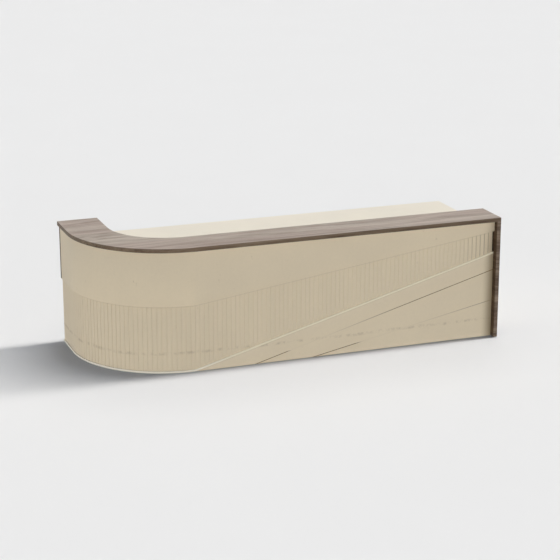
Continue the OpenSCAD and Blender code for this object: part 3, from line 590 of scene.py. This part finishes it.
# Light that the key, a fan of suns, and the weak light behind give the floor, and their colour.
KEY_LEVEL = 0.755
BACK_FILL = 0.05
KEY_TINT = (1.033, 1.003, 0.955)
# Heights of the key's suns above the horizon, the way they lie and how wide each looks, in degrees.
KEY_HEIGHTS = range(20, 90, 5)
KEY_TURN = -0.5
KEY_SPREAD = 8
# Higher suns are stronger; the larger this number is, the more even their shares are.
KEY_EVENNESS = 20

# Camera angles in degrees, its distance in heights of the counter, lens and sensor in millimetres.
CAMERA_TURN = -20.48
CAMERA_RISE = 16.55
CAMERA_DISTANCE = 13.75
CAMERA_LENS = 110.6
SENSOR_WIDTH = 36.0


def make_floor():
    """Plain pale floor. The camera sees its shadows and painted shade near the counter; to the counter it is
    an even bounce card.
    """
    bpy.ops.mesh.primitive_circle_add(vertices=96, radius=FLOOR_RADIUS, fill_type="NGON")
    floor = bpy.context.object
    floor.name = "floor"
    s = Shader("pale_floor")
    # Painted shade: the floor is darker and bluer where the counter closes it in.
    nearby_shade = s.node("ShaderNodeAmbientOcclusion", samples=16)
    nearby_shade.inputs["Distance"].default_value = NEAR_DISTANCE
    colour = s.mix(nearby_shade.outputs["AO"], tinted(FLOOR_ALBEDO, NEAR_FLOOR_SHADE), FLOOR_ALBEDO)
    tone = s.span(s.noise(0.8, detail=3.0), *NEARLY_ALL, 0.997, 1.003)
    shown = s.surface(s.shade(colour, tone), 0.9, shine=0.0)

    path = s.node("ShaderNodeLightPath")
    first = s.math("LESS_THAN", path.outputs["Diffuse Depth"], 1.5)
    card = s.node("ShaderNodeEmission")
    s.feed(card.inputs["Strength"], s.span(first, 0.0, 1.0, DEEP_BOUNCE, BOUNCE))
    either = s.node("ShaderNodeMixShader")
    for socket, value in zip(either.inputs, (path.outputs["Is Camera Ray"], card.outputs[0], shown)):
        s.feed(socket, value)
    floor.data.materials.append(s.finish(either.outputs[0]))


def make_sky():
    """Dim sky with a ring of soft light low around the counter, weaker behind it.

    The camera sees the floor's own brightness past the floor's edge.
    """
    s = Shader("studio", bpy.data.worlds, "Generated")
    low_down = s.span(s.axis("Z"), RING_TOP, RING_FULL)
    backwards = s.math("ADD", s.times(s.axis("X"), BEHIND_X), s.times(s.axis("Y"), BEHIND_Y))
    share = s.span(backwards, 0.1, 0.5, 1.0, RING_BEHIND)
    light = s.math("MULTIPLY_ADD", s.times(low_down, share), RING, SKY)
    seen = s.node("ShaderNodeLightPath").outputs["Is Camera Ray"]
    background = s.node("ShaderNodeBackground")
    s.feed(background.inputs["Color"], s.mix(s.math("MAXIMUM", seen, low_down), HIGH_SKY, WHITE))
    s.feed(background.inputs["Strength"], s.span(seen, 0.0, 1.0, light, PALE))
    bpy.context.scene.world = s.finish(background.outputs[0], "ShaderNodeOutputWorld")


def make_sun(name, level, height, turn, spread):
    """A sun that lights the floor to a level. Angles in degrees; turn is 0 from +X and 90 from +Y."""
    light = bpy.data.lights.new(name, "SUN")
    light.energy = math.pi * level / math.sin(math.radians(height))
    light.angle = math.radians(spread)
    light.color = KEY_TINT
    sun = bpy.data.objects.new(name, light)
    sun.rotation_euler = (0.0, math.radians(90 - height), math.radians(turn))
    bpy.context.scene.collection.objects.link(sun)


def make_key():
    """A tall soft light at the counter's right end, made of a fan of suns, and a weak one behind."""
    weights = {height: height + KEY_EVENNESS for height in KEY_HEIGHTS}
    for height, weight in weights.items():
        level = KEY_LEVEL * weight / sum(weights.values())
        make_sun(f"key_{height}", level, height, KEY_TURN, KEY_SPREAD)
    make_sun("back_fill", BACK_FILL, height=50, turn=65, spread=30)


def make_camera():
    """Camera on the customer's side, a little to the left, looking down at the counter."""
    turn = math.radians(CAMERA_TURN)
    rise = math.radians(CAMERA_RISE)
    middle = (low + high) / 2
    distance = CAMERA_DISTANCE * (high.z - low.z)
    away = Vector((math.sin(turn) * math.cos(rise), -math.cos(turn) * math.cos(rise), math.sin(rise)))
    data = bpy.data.cameras.new("camera")
    data.sensor_width = SENSOR_WIDTH
    data.lens = CAMERA_LENS
    data.clip_end = 2 * FLOOR_RADIUS
    camera = bpy.data.objects.new("camera", data)
    camera.location = middle + away * distance
    camera.rotation_euler = (-away).to_track_quat("-Z", "Y").to_euler()
    bpy.context.scene.collection.objects.link(camera)
    bpy.context.scene.camera = camera


make_floor()
make_sky()
make_key()
make_camera()
bpy.context.scene.view_settings.view_transform = "Standard"
